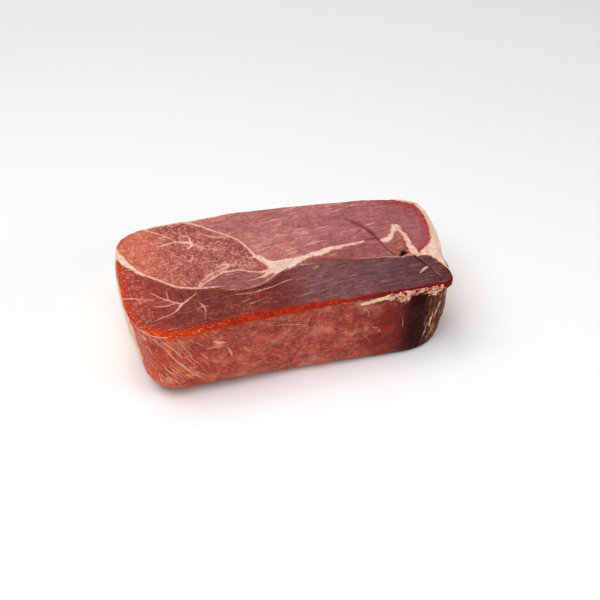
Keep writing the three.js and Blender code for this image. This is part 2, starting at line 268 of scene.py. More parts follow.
class HamSizes(bpy.types.PropertyGroup):
    proud_fat: length("Proud fat", "How far the fat seams stand above the meat", 0.35)
    grain: length("Grain", "Height of the meat's fine unevenness", 0.16)
    carving: length("Carving", "Depth of the marks in the carved front", 0.45)
    crust: length("Crust", "How far the crust under the front rim stands out", 1.3)
    lip: length("Lip", "How far the dried tip of the front muscle stands out over the side", 2.4)
    wrinkles: length("Wrinkles", "Depth of the wrinkles at the dried end", 1.3)
    dimples: length("Dimples", "Depth of the soft dimples of the rind", 0.6)
    fleck: length("Fleck", "Distance between the finest flecks of fat", 2.2)


class HamColours(bpy.types.PropertyGroup):
    left_edge: colour("Left muscle, at the rim", "Orange red of the thin outer side", linear(192, 98, 72))
    left_heart: colour("Left muscle", "Salmon red of the large left muscle", linear(150, 74, 69))
    back_left: colour("Back muscle, left", "Rose of the long back muscle", linear(179, 108, 104))
    back_right: colour("Back muscle, right", "Mauve towards its end", linear(157, 88, 91))
    band_left: colour("Middle band, left", "Pale meat between the seams", linear(148, 84, 80))
    band_right: colour("Middle band, right", "Duller meat towards the fold", linear(152, 84, 82))
    front_left: colour("Front muscle, left", "Bright meat at the left rim", linear(158, 60, 44))
    front_middle: colour("Front muscle, middle", "Wine red of the front muscle", linear(110, 41, 37))
    # The front muscle's right part: its own dull plum with a painted sheen, which makes it greyer and bluer.
    front_dry_and_sheen: colour("Front muscle, right", "Dull plum of its dry part", linear(120, 73, 74))
    front_plum_and_sheen: colour("Front muscle, far right", "Darker plum towards the tip", linear(101, 58, 60))
    front_tip: colour("Front muscle, tip", "Dark end of the front muscle", linear(88, 40, 40))
    knuckle: colour("Knuckle meat", "Meat inside the right seam", linear(152, 87, 76))
    # The red edge tones are the meat's own red with painted glow of light through the thin rim.
    red_and_glow_left: colour("Red edge, left", "Glowing red along the left of the rim", linear(218, 66, 17))
    red_and_glow_middle: colour("Red edge, middle", "Deep orange red in the middle of the rim", linear(178, 50, 22))
    red_and_glow_right: colour("Red edge, right", "Deep red along the right of the rim", linear(120, 20, 14))
    red_back: colour("Red edge, back", "Soft red round the back muscle and beside the fold", linear(178, 68, 56))
    # fold is painted shade inside the folds, and also the tone of the meat's dark fibre lines; gap is painted shade,
    # near black in the gap and the deepest folds.
    fold: colour("Fold", "Dried meat inside the folds", linear(50, 17, 17))
    gap: colour("Gap", "Black of the gap beside the knuckle", linear(14, 4, 4))
    fat: colour("Fat", "Cream fat of the broad seams", linear(235, 202, 181))
    fleck: colour("Flecks", "Fine flecks of fat inside the muscles", linear(222, 158, 138))
    front_fleck: colour("Flecks, front muscle", "Fine flecks of fat in the darker front muscle", linear(166, 77, 61))
    streak: colour("Streaks", "Long fine streaks of the back muscle", linear(226, 164, 150))
    sinew: colour("Sinews", "Pale sinews in the carved side", linear(238, 184, 148))
    thin_fat: colour("Thin fat", "Fat of the fine seams, tinted by the meat", linear(230, 162, 140))
    side_left: colour("Carved side, left", "Freshly carved meat", linear(208, 73, 43))
    side_middle: colour("Carved side, middle", "Carved meat, half dried", linear(179, 69, 48))
    side_right: colour("Carved side, right", "Brown dried meat", linear(136, 32, 20))
    side_end: colour("Dried end", "Nearly black dried meat round the corner", linear(54, 10, 7))
    wrinkle: colour("Wrinkles", "Yellow brown fat between the wrinkles", linear(162, 88, 54))
    crust: colour("Crust", "Ragged pale crust under the rim", linear(226, 159, 131))
    # The crumb tone is the palest crumbs of the crust, and also the painted highlights on the wrinkles' crests and on
    # the dried end's highlight lines.
    crumb_and_highlight: colour("Crumbs", "Palest crumbs of the crust", linear(240, 204, 180))
    crust_fat: colour("Crust, smooth part", "Strip of cream fat where the crust begins", linear(240, 200, 166))
    rind: colour("Rind", "Peach fat of the outside", linear(250, 207, 172))
    rind_yellow: colour("Rind, yellowed", "Oily yellow where the rind meets the cut", linear(232, 170, 96))


class HamStage(bpy.types.PropertyGroup):
    floor: length("Floor", "Width of the square floor", 6000)
    floor_tone: colour("Floor tone", "Colour of the pale floor", (0.9, 0.9, 0.9))
    sky: FloatProperty(name="Sky", description="Strength of the light from all round", default=0.36, min=0)
    key: FloatProperty(name="Key light", description="Power of the large soft light overhead", default=11.5, min=0, unit="POWER")
    side: FloatProperty(name="Side light", description="Power of the soft light at the right", default=3, min=0, unit="POWER")
    lens: FloatProperty(name="Lens", description="Focal length in millimetres", default=70.09, min=1)
    distance: length("Distance", "From the camera to the point it looks at", 902.8)
    aim: FloatVectorProperty(
        name="Aim", description="Point in the middle of the picture", default=[v * MM for v in (10.41, 8.41, 17.16)],
        subtype="XYZ", unit="LENGTH")
    turn: FloatProperty(
        name="Turn", description="Camera's turn to the right", default=math.radians(14.725), subtype="ANGLE")
    tilt: FloatProperty(
        name="Tilt", description="Camera's look downwards", default=math.radians(45.773), subtype="ANGLE")
    roll: FloatProperty(
        name="Roll", description="Camera's roll to the left", default=math.radians(1.909), subtype="ANGLE")


def curved(line, steps=5):
    """A smooth line through the given points, whose extra values are carried along it."""
    points = np.array(line, float)
    if len(points) == 2:
        return points
    slopes = np.gradient(points, axis=0)
    pieces = []
    for start, end, rise, fall in zip(points, points[1:], slopes, slopes[1:]):
        for step in range(steps):
            t = step / steps
            pieces.append(
                (2 * t**3 - 3 * t**2 + 1) * start + (t**3 - 2 * t**2 + t) * rise
                + (3 * t**2 - 2 * t**3) * end + (t**3 - t**2) * fall)
    pieces.append(points[-1])
    return np.array(pieces)


def to_line(points, line):
    """The way from each point to the nearest point of a line, its length, and the line's half width there."""
    start, step = line[:-1, :2], np.diff(line[:, :2], axis=0)
    from_start = points[:, None, :] - start
    share = np.clip((from_start * step).sum(-1) / np.maximum((step**2).sum(-1), 1e-9), 0, 1)
    ways = share[..., None] * step - from_start
    far = np.hypot(ways[..., 0], ways[..., 1])
    near = far.argmin(1)
    rows = np.arange(len(points))
    half = line[near, 2] + share[rows, near] * (line[near + 1, 2] - line[near, 2])
    return ways[rows, near], far[rows, near], half


def to_lines(points, lines):
    """As to_line, for the line whose edge each point is nearest to."""
    way = np.zeros((len(points), 2))
    far = np.full(len(points), np.inf)
    half = np.zeros(len(points))
    for line in lines:
        one_way, one_far, one_half = to_line(points, curved(line))
        nearer = one_far - one_half < far - half
        way[nearer], far[nearer], half[nearer] = one_way[nearer], one_far[nearer], one_half[nearer]
    return way, far, half


def into_outline(points, outline):
    """How far each point is inside a closed outline, negative outside."""
    corners = np.array([*outline, outline[0]], float)
    edges = np.column_stack([corners, np.zeros(len(corners))])
    _, far, _ = to_line(points, edges)
    x, y = points.T
    inside = np.zeros(len(points), bool)
    for (ax, ay), (bx, by) in zip(corners, corners[1:]):
        if ay != by:
            crosses = ((ay > y) != (by > y)) & (x < ax + (y - ay) * (bx - ax) / (by - ay))
            inside ^= crosses
    return np.where(inside, far, -far)


def smooth_step(value, low, high):
    share = np.clip((value - low) / (high - low), 0, 1)
    return share * share * (3 - 2 * share)


def rough(points, size, stretch=(1, 1, 1), octaves=1, seed=0.0):
    """Noise about 0 at each point, between about -1 and 1, with features of the given size."""
    scaled = points / (size * np.array(stretch)) + seed
    return np.array([noise.fractal(Vector(p), 0.6, 2.0, octaves) for p in scaled])


def divided_copy(source, name):
    """A smooth, finely divided copy of a node's mesh, with its cut face and its outside as two materials."""
    bm = bmesh.new()
    bm.from_mesh(source.data)
    bmesh.ops.remove_doubles(bm, verts=bm.verts, dist=1e-6)
    bmesh.ops.join_triangles(
        bm, faces=bm.faces, angle_face_threshold=math.radians(40), angle_shape_threshold=math.radians(60))
    bm.normal_update()
    for face in bm.faces:
        on_top = face.normal.z > 0.45 and face.calc_center_median().z > 0.8 * HIGH.z * MM
        face.material_index = CUT_MATERIAL if on_top else SIDE_MATERIAL
        face.smooth = True
    mesh = bpy.data.meshes.new(name)
    bm.to_mesh(mesh)
    bm.free()
    piece = bpy.data.objects.new(name, mesh)
    bpy.context.scene.collection.objects.link(piece)
    division = piece.modifiers.new("Division", "SUBSURF")
    division.levels = division.render_levels = DIVISIONS
    with bpy.context.temp_override(object=piece, active_object=piece):
        bpy.ops.object.modifier_apply(modifier=division.name)
    return piece


class Points:
    """The block's points in millimetres, with what the seams and muscles make of each of them."""

    def __init__(self, mesh):
        self.mesh = mesh
        count = len(mesh.vertices)
        flat = np.empty(count * 3, np.float32)
        mesh.vertices.foreach_get("co", flat)
        self.at = flat.reshape(-1, 3).astype(float) / MM
        mesh.vertex_normals.foreach_get("vector", flat)
        self.normal = flat.reshape(-1, 3).astype(float)
        self.on_cut = np.zeros(count, bool)
        on_side = np.zeros(count, bool)
        for face in mesh.polygons:
            side = self.on_cut if face.material_index == CUT_MATERIAL else on_side
            side[list(face.vertices)] = True
        self.on_rim = self.on_cut & on_side
        self.x, self.y, self.z = self.at.T
        self.measure_rim()

    def measure_rim(self):
        """The distance to the rim, negative on the side, and the rim's place and height next to each point."""
        rim = self.at[self.on_rim]
        tree = kdtree.KDTree(len(rim))
        for index, point in enumerate(rim):
            tree.insert(point, index)
        tree.balance()
        found = [tree.find(point) for point in self.at]
        far = np.array([hit[2] for hit in found])
        self.rim = np.where(self.on_cut, far, -far)
        self.rim_at = rim[[hit[1] for hit in found]]

    def keep(self, name, values):
        """Stores values as an attribute of the mesh's points."""
        kind = {1: "FLOAT", 3: "FLOAT_VECTOR", 4: "FLOAT_COLOR"}[1 if values.ndim == 1 else values.shape[1]]
        field = {"FLOAT": "value", "FLOAT_VECTOR": "vector", "FLOAT_COLOR": "color"}[kind]
        layer = self.mesh.attributes.new(name, kind, "POINT")
        layer.data.foreach_set(field, values.astype(np.float32).ravel())

    def move(self, height):
        """Moves each point outwards by its height in millimetres."""
        self.at += self.normal * height[:, None]
        self.mesh.vertices.foreach_set("co", (self.at * MM).astype(np.float32).ravel())
        self.mesh.update()


def near_lines(flat, lines):
    """1 in the middle of the given lines, falling to 0 a little past their reach."""
    _, far, reach = to_lines(flat, lines.values())
    return smooth_step(far, 1.2 * reach, 0.3 * reach)


def fill_hollows(points):
    """Raises the cut face straight up over the solid's wide hollows."""
    for filled in FILLED:
        _, far, half = to_line(points.at[:, :2], curved(filled["line"]))
        points.at[:, 2] += points.on_cut * filled["height"] * np.exp(-((far / half) ** 2))


def draw_seams(points):
    """Fat seams: the way to the nearest one, its half width, and how far inside a patch of fat a point is."""
    cut, front = points.on_cut, ~points.on_cut & (points.normal[:, 1] < -0.35)
    seam = np.tile((0.0, 0.0, NOWHERE), (len(cut), 1))
    half = np.zeros(len(cut))
    for shown, plane, lines in ((cut, [0, 1], FAT_SEAMS), (front, [0, 2], FRONT_SINEWS)):
        way, far, half[shown] = to_lines(points.at[shown][:, plane], lines.values())
        seam[shown] = np.column_stack([way, far])
    patch = np.full(len(cut), -NOWHERE)
    flat = points.at[cut][:, :2]
    patch[cut] = np.max([into_outline(flat, outline) for outline in FAT_PATCHES.values()], axis=0)
    points.keep("seam", seam)
    points.keep("seam_half", half)
    points.keep("patch", patch)
    return smooth_step(half - seam[:, 2], -0.8, 0.3) * smooth_step(half, 0.2, 0.9), patch


def draw_marbling(points):
    """Where the cut face is densely marbled, and where the carved front has white specks."""
    marbled = np.where(points.on_cut, near_lines(points.at[:, :2], MARBLED), 0)
    specks = np.where(points.on_cut, 0, near_lines(points.at[:, [0, 2]], SPECKS) * (points.y < 0))
    points.keep("marbling", marbled + specks)


def draw_muscles(points):
    """The share of each named muscle in a point."""
    on_cut = points.at[points.on_cut]
    flat = on_cut[:, :2] + 0.8 * np.column_stack([rough(on_cut, 5, seed=3.0), rough(on_cut, 5, seed=8.0)])
    shares = np.zeros((len(points.at), 4))
    for column, name in enumerate(("front", "band", "left", "knuckle")):
        shares[points.on_cut, column] = smooth_step(into_outline(flat, MUSCLES[name]), -1.1, 1.1)
    points.keep("muscle", shares)
    return shares.T


def draw_folds(points):
    """Folds and the gap: the depth they take from the surface, and the darkness of their painted shade."""
    flat = points.at[:, :2]
    gap = smooth_step(into_outline(flat, GAP["outline"]), -0.5, 0.7)
    depth, dark = GAP["depth"] * gap, gap
    for fold in FOLDS:
        _, far, half = to_line(flat, curved(fold["line"]))
        near = np.exp(-((far / half) ** 2))
        depth = np.maximum(depth, fold["depth"] * np.exp(-((far / (half + 0.4)) ** 2)))
        dark = np.maximum(dark, fold["dark"] * near)
    points.keep("fold", np.where(points.on_cut, dark, 0))
    return depth


def draw_red_edge_and_glow(points):
    """Bright red along the rim, partly the meat's own red and partly painted glow of light through the thin rim, down
    the left end and beside some seams.
    """
    x, y = points.rim_at[:, 0], points.rim_at[:, 1]
    width = np.interp(x, RED_EDGE_AT, RED_EDGE_WIDTH)
    at_front = smooth_step(y, -8, -20) * smooth_step(x, -119, -114)
    at_left = smooth_step(x, -112, -119) * smooth_step(y, 30, 24)
    at_back = smooth_step(y, 20, 36) * (0.5 + 0.5 * smooth_step(x, -60, -100))
    reach = np.maximum.reduce([width * at_front, 8 * at_left, 2.4 * at_back])
    strength = np.maximum.reduce([at_front, 0.85 * at_left, 0.5 * at_back])
    reach = np.maximum(reach * (1 + 0.4 * rough(points.at, 5, octaves=3, seed=5.0)), 0.01)
    soft = np.interp(x, [-100, -40, 20], [0.1, 0.3, 0.5])
    red = strength * smooth_step(points.rim, reach, soft * reach)
    _, far, half = to_lines(points.at[:, :2], RED_LINES.values())
    red = np.maximum(red, 0.75 * smooth_step(half - far, -0.9, 0.5))
    _, far, half = to_line(points.at[:, :2], curved(RED_END))
    red = np.maximum(red, 0.8 * smooth_step(half - far, -4.5, 1.4))
    turn = np.interp(points.x, RED_TURN_AT, RED_TURN) * smooth_step(y, -12, -30)
    turn = (turn + 0.5) * (1 + 0.5 * rough(points.at, 3, octaves=2, seed=12.0))
    turned_down = strength * smooth_step(-points.rim, turn + 0.5, turn - 0.5)
    left_end = 0.35 * smooth_step(points.x, -117, -121) * smooth_step(points.z, 48, 72)
    points.keep("red", np.where(points.on_cut, red, np.maximum(turned_down, left_end)))


def draw_outside(points):
    """How many millimetres a point is inside the rind's edge, and how much of it is dried end and crust."""
    x, y, z = points.x, points.y, points.z
    ragged = rough(points.at, 9, octaves=3, seed=2.0)
    left = into_outline(points.at[:, 1:], LEFT_RIND) + 2 * ragged
    under_rim = np.where((x < -94) & (y < -15), 4 * (1.1 + points.rim), -NOWHERE)
    back = np.where(x > -100, y + 12.5 + 6 * ragged, np.maximum(left, under_rim))
    underside = np.minimum(12 * (-0.72 - points.normal[:, 2]), y + 29 + 8 * ragged)
    rind = np.clip(np.maximum(back, underside), -10, 10)
    share = smooth_step(rind, -1, 1)
    dried = smooth_step(x + 5 * ragged, 66, 82)
    crumbly = smooth_step(x, 58, 64)
    edge = (0.4 + 1.6 * crumbly) * rough(points.at, 3.2, octaves=4, seed=6.0)
    crust = smooth_step(into_outline(points.at[:, [0, 2]], CRUST) + edge, -0.5, 0.6) * smooth_step(y, -28, -36)
    crust *= ~points.on_cut
    points.keep("outside", np.column_stack([rind, dried, crust]))
    slope = smooth_step(points.normal[:, 2], 0.97, 0.8) * smooth_step(points.rim, 20, 12)
    points.keep("slope", slope)
    return share, dried * (1 - share), crust, slope


def draw_ridges(points, dried, crust):
    """Crumbs of the crust and upright wrinkles of the dried end, as heights between about -1 and 1."""
    crumbs = rough(points.at, 2.6, octaves=4, seed=11.0) + 0.5 * rough(points.at, 7, seed=14.0)
    crumbs *= 0.2 + 0.8 * smooth_step(points.x, 58, 64)
    wrinkles = rough(points.at, 2.8, stretch=(1, 1, 4.5), octaves=3, seed=13.0)
    corner = dried * smooth_step(points.x, 84, 95) * smooth_step(points.rim, -3, -9)
    ridges = crust * crumbs + (1 - crust) * corner * wrinkles
    points.keep("ridges", ridges)
    return crust * crumbs, (1 - crust) * corner * wrinkles


def shape_relief(points, sizes):
    """Raises and lowers the surface: proud fat, folds, muscle fibres, carving, crust, wrinkles and dimples."""
    fill_hollows(points)
    fat, patch = draw_seams(points)
    fat = np.maximum(fat, smooth_step(patch, -0.5, 0.8))
    front, band, left, knuckle = draw_muscles(points)
    folds = draw_folds(points)
    draw_red_edge_and_glow(points)
    draw_marbling(points)
    rind, dried, crust, slope = draw_outside(points)
    crumbs, wrinkles = draw_ridges(points, dried, crust)
    at = points.at
    millimetres = {name: getattr(sizes, name) / MM for name in sizes.__annotations__}

    cut = millimetres["proud_fat"] * fat - folds
    cut += millimetres["grain"] * (rough(at, 2.4, octaves=2) + 1.5 * rough(at, 9, octaves=2, seed=4.0))
    right_front = front * smooth_step(points.x, 0, 50)
    cut += 0.16 * right_front * rough(at, 2.2, stretch=(12, 1, 1), seed=1.0)
    cut += 0.1 * (1 - front) * (1 - left) * rough(at, 1.8, stretch=(7, 1, 1), seed=9.0)

    meat = (1 - rind) * (1 - crust)
    marks = rough(at, 3.4, stretch=(2.2, 1, 1), octaves=3, seed=7.0) + rough(at, 12, octaves=2, seed=1.5)
    outside = millimetres["carving"] * meat * (1 - 0.6 * dried) * marks
    outside += 0.25 * meat * fat * ~points.on_cut
    outside += millimetres["crust"] * (0.6 * crust + 0.7 * crumbs) + millimetres["wrinkles"] * wrinkles
    lip = smooth_step(points.x, 97, 104) * smooth_step(points.y, -18, -28) * (1 - crust)
    outside += millimetres["lip"] * lip * np.exp(-(((points.rim + 4.2) / 2.6) ** 2))
    dimples = rough(at, 15, octaves=2, seed=17.0) + 0.25 * rough(at, 3.5, octaves=2, seed=19.0)
    skin = millimetres["dimples"] * rind * dimples

    inner, outer = smooth_step(points.rim, -0.1, 1.5), smooth_step(points.rim, 0, -1.2)
    cut = cut * inner * (1 - slope) + skin * slope
    outside = outside * outer + skin * np.maximum(outer, slope)
    points.move(np.where(points.on_cut, cut, outside * smooth_step(points.z, 0.2, 6)))


class Wiring:
    """A node tree that is built by calls. Each call adds one node and gives back one of its outputs."""

    def __init__(self, tree):
        self.tree = tree

    def feed(self, socket, value):
        if isinstance(value, bpy.types.NodeSocket):
            self.tree.links.new(value, socket)
        else:
            socket.default_value = value

    def node(self, kind, inputs=(), **settings):
        made = self.tree.nodes.new("ShaderNode" + kind)
        for name, setting in settings.items():
            setattr(made, name, setting)
        for key, value in dict(inputs).items():
            self.feed(made.inputs[key], value)
        return made

    def math(self, operation, *values):
        return self.node("Math", enumerate(values), operation=operation).outputs[0]

    def vector(self, operation, *values, **named):
        made = self.node("VectorMath", enumerate(values), operation=operation)
        for name, value in named.items():
            self.feed(made.inputs[name], value)
        return made.outputs["Value" if operation in ("LENGTH", "DOT_PRODUCT") else "Vector"]

    def step(self, value, low, high, least=0.0, most=1.0):
        """Runs smoothly from least to most while value runs from low to high."""
        inputs = {"Value": value, "From Min": low, "From Max": high, "To Min": least, "To Max": most}
        return self.node("MapRange", inputs, interpolation_type="SMOOTHSTEP").outputs[0]

    def blend(self, share, first, second, mode="MIX"):
        made = self.node("Mix", {0: share, 6: first, 7: second}, data_type="RGBA", blend_type=mode)
        return made.outputs[2]

    def noise(self, vector, scale, detail=2.0, rough=0.5):
        inputs = {"Vector": vector, "Scale": scale, "Detail": detail, "Roughness": rough}
        return self.node("TexNoise", inputs).outputs[0]

    def attribute(self, name, output="Fac"):
        return self.node("Attribute", attribute_name=name).outputs[output]

    def parts(self, vector):
        return self.node("SeparateXYZ", {0: vector}).outputs

    def joined(self, *values):
        return self.node("CombineXYZ", enumerate(values)).outputs[0]

    def ramp(self, share, stops):
        """A colour that runs smoothly through (place, colour) stops."""
        made = self.node("ValToRGB", {0: share})
        elements = made.color_ramp.elements
        made.color_ramp.interpolation = "EASE"
        elements.remove(elements[1])
        elements[0].position = stops[0][0]
        for place, _ in stops[1:]:
            elements.new(place)
        for element, (_, tone) in zip(elements, stops):
            element.color = (*tone, 1)
        return made.outputs[0]

    def use(self, group, inputs):
        made = self.tree.nodes.new("ShaderNodeGroup")
        made.node_tree = group
        for key, value in inputs.items():
            self.feed(made.inputs[key], value)
        return made.outputs[0]


def new_group(name, inputs, output, build):
    """A node group with named inputs, given as (name, kind, default), and one named output."""
    tree = bpy.data.node_groups.new(name, "ShaderNodeTree")
    for label, kind, default in inputs:
        socket = tree.interface.new_socket(name=label, in_out="INPUT", socket_type="NodeSocket" + kind)
        if default is not None:
            socket.default_value = default
    label, kind = output
    tree.interface.new_socket(name=label, in_out="OUTPUT", socket_type="NodeSocket" + kind)
    entry = tree.nodes.new("NodeGroupInput")
    leave = tree.nodes.new("NodeGroupOutput")
    wiring = Wiring(tree)
    tree.links.new(build(wiring, entry.outputs), leave.inputs[0])
    return tree


def patchy_tone(wiring, entry):
    """Multiplies a colour by one that varies in soft patches between Dark and Light."""
    patches = wiring.noise(entry["Place"], wiring.math("DIVIDE", 1.0, entry["Size"]), detail=4.0, rough=0.6)
    share = wiring.step(patches, 0.32, 0.68)
    return wiring.vector("MULTIPLY", entry["Colour"], wiring.blend(share, entry["Dark"], entry["Light"]))


def fibre_lines(wiring, entry):
    """Fine lines along the first axis of Place, as a value about a half."""
    along, across = (wiring.math("DIVIDE", 1.0, entry[name]) for name in ("Length", "Width"))
    return wiring.noise(wiring.vector("MULTIPLY", entry["Place"], wiring.joined(along, across, across)), 1.0)


def fat_flecks(wiring, entry):
    """A broken net of fine fat lines, as a mask: the borders of crooked cells, shown here and there."""
    scale = wiring.math("DIVIDE", 1.0, entry["Size"])
    bend = wiring.node("TexNoise", {"Vector": entry["Place"], "Scale": scale, "Detail": 2.0}).outputs["Color"]
    bend = wiring.vector("SCALE", wiring.vector("SUBTRACT", bend, (0.5, 0.5, 0.5)), Scale=entry["Size"])
    bent = wiring.vector("MULTIPLY_ADD", bend, (1.3, 1.3, 1.3), entry["Place"])
    net = wiring.node("TexVoronoi", {"Vector": bent, "Scale": scale}, feature="DISTANCE_TO_EDGE").outputs["Distance"]
    line = wiring.step(net, 0.17, 0.03)
    broken = wiring.noise(entry["Place"], wiring.math("MULTIPLY", scale, 0.7), detail=2.0)
    edge = wiring.math("MULTIPLY_ADD", entry["Amount"], -0.45, 0.75)
    shown = wiring.step(wiring.math("SUBTRACT", broken, edge), -0.05, 0.08)
    return wiring.math("MULTIPLY", line, shown)


def short_streaks(wiring, entry):
    """Separate spindles along the first axis of Place, as a mask: one in each chosen stretched cell."""
    along, across = (wiring.math("DIVIDE", 1.0, entry[name]) for name in ("Length", "Width"))
    stretched = wiring.vector("MULTIPLY", entry["Place"], wiring.joined(along, across, across))
    cells = wiring.node("TexVoronoi", {"Vector": stretched, "Scale": 1.0})
    chance = wiring.node("SeparateColor", {0: cells.outputs["Color"]}).outputs[0]
    chosen = wiring.step(wiring.math("SUBTRACT", entry["Amount"], chance), -0.02, 0.02)
    reach = wiring.math("MULTIPLY_ADD", wiring.noise(entry["Place"], 0.9), 0.5, 0.15)
    inside = wiring.math("SUBTRACT", reach, cells.outputs["Distance"])
    return wiring.math("MULTIPLY", chosen, wiring.step(inside, -0.1, 0.12))


def make_groups():
    place = ("Place", "Vector", None)
    colours = [("Colour", "Color", None), ("Dark", "Color", None), ("Light", "Color", None)]
    return {
        "tone": new_group(
            "Patchy tone", [place, *colours, ("Size", "Float", 10.0)], ("Colour", "Color"), patchy_tone),
        "fibres": new_group(
            "Fibre lines", [place, ("Length", "Float", 12.0), ("Width", "Float", 1.2)],
            ("Lines", "Float"), fibre_lines),
        "flecks": new_group(
            "Fat flecks", [place, ("Size", "Float", 2.0), ("Amount", "Float", 0.5)],
            ("Mask", "Float"), fat_flecks),
        "streaks": new_group(
            "Short streaks", [place, ("Length", "Float", 8.0), ("Width", "Float", 1.5), ("Amount", "Float", 0.3)],
            ("Mask", "Float"), short_streaks),
    }


def new_material(name):
    material = bpy.data.materials.new(name)
    material.use_nodes = True
    material.node_tree.nodes.clear()
    return material, Wiring(material.node_tree)


def place_in_mm(wiring):
    place = wiring.node("TexCoord").outputs["Object"]
    return wiring.vector("SCALE", place, Scale=1 / MM)


def along_block(wiring, place):
    """0 at the left end of the block and 1 at the right."""
    inputs = {"Value": wiring.parts(place)[0], "From Min": LOW.x, "From Max": HIGH.x}
    return wiring.node("MapRange", inputs).outputs[0]


def turned(wiring, place, axis, angle):
    inputs = {"Vector": place, "Angle": angle}
    return wiring.node("VectorRotate", inputs, rotation_type=axis + "_AXIS").outputs[0]


def mottled(wiring, groups, place, colour, layers):
    """A colour with patches of several sizes, each given as (size, how much redder and darker, how much paler)."""
    for size, dark, light in layers:
        colour = wiring.use(groups["tone"], {
            "Place": place, "Colour": colour, "Size": size,
            "Dark": (1 - dark, 1 - 1.35 * dark, 1 - 1.25 * dark, 1),
            "Light": (1 + light, 1 + 1.5 * light, 1 + 1.5 * light, 1)})
    return colour


def marked(wiring, mask, strength, below, tone):
    """A colour with a mask of marks laid over it."""
    return wiring.blend(wiring.math("MULTIPLY", mask, strength), below, (*tone, 1))


def seam_mask(wiring, place, waver):
    """Fat seams with wavering, broken edges, and how deep inside them a point is, in millimetres."""
    seam = wiring.parts(wiring.attribute("seam", "Vector"))
    bend = wiring.node("TexNoise", {"Vector": place, "Scale": 0.35, "Detail": 2.0}).outputs["Color"]
    bend = wiring.vector("SCALE", wiring.vector("SUBTRACT", bend, (0.5, 0.5, 0.5)), Scale=waver)
    way = wiring.vector("MULTIPLY", wiring.vector("ADD", wiring.joined(seam[0], seam[1], 0.0), bend), (1, 1, 0))
    thickness = wiring.step(wiring.noise(place, 0.45), 0.3, 0.7, 0.75, 1.25)
    half = wiring.math("MULTIPLY", wiring.attribute("seam_half"), thickness)
    inside = wiring.math("SUBTRACT", half, wiring.vector("LENGTH", way))
    near = wiring.math("SUBTRACT", wiring.attribute("seam_half"), seam[2])
    full = wiring.step(wiring.attribute("seam_half"), 0.1, 0.8, 0.5, 1.0)
    mask = wiring.math("MULTIPLY", wiring.step(inside, -0.35, 0.3), wiring.step(near, -1.5, -0.9))
    return wiring.math("MULTIPLY", mask, full), inside


def finish_shader(wiring, colour, roughness, gloss, relief, relief_height):
    """The surface: damp meat or fat, a little soft inside."""
    normal = wiring.node("Bump", {"Height": relief, "Distance": relief_height}).outputs[0]
    shader = wiring.node("BsdfPrincipled", {
        "Base Color": colour, "Roughness": roughness, "Specular IOR Level": gloss, "Normal": normal})
    for name, value in SURFACE.items():
        shader.inputs[name].default_value = value
    out = wiring.node("OutputMaterial")
    wiring.tree.links.new(shader.outputs[0], out.inputs[0])


def rind_colour(wiring, groups, tones, place):
    """Peach fat of the outside, yellower near the cut face, with soft stains."""
    height = wiring.parts(place)[2]
    oily = wiring.math("MULTIPLY", wiring.step(height, 0.78 * HIGH.z, 0.96 * HIGH.z), 0.26)
    fat = wiring.blend(oily, (*tones.rind, 1), (*tones.rind_yellow, 1))
    return mottled(wiring, groups, place, fat, [(30, 0.1, 0.02), (9, 0.09, 0.03), (2.6, 0.07, 0.03)])


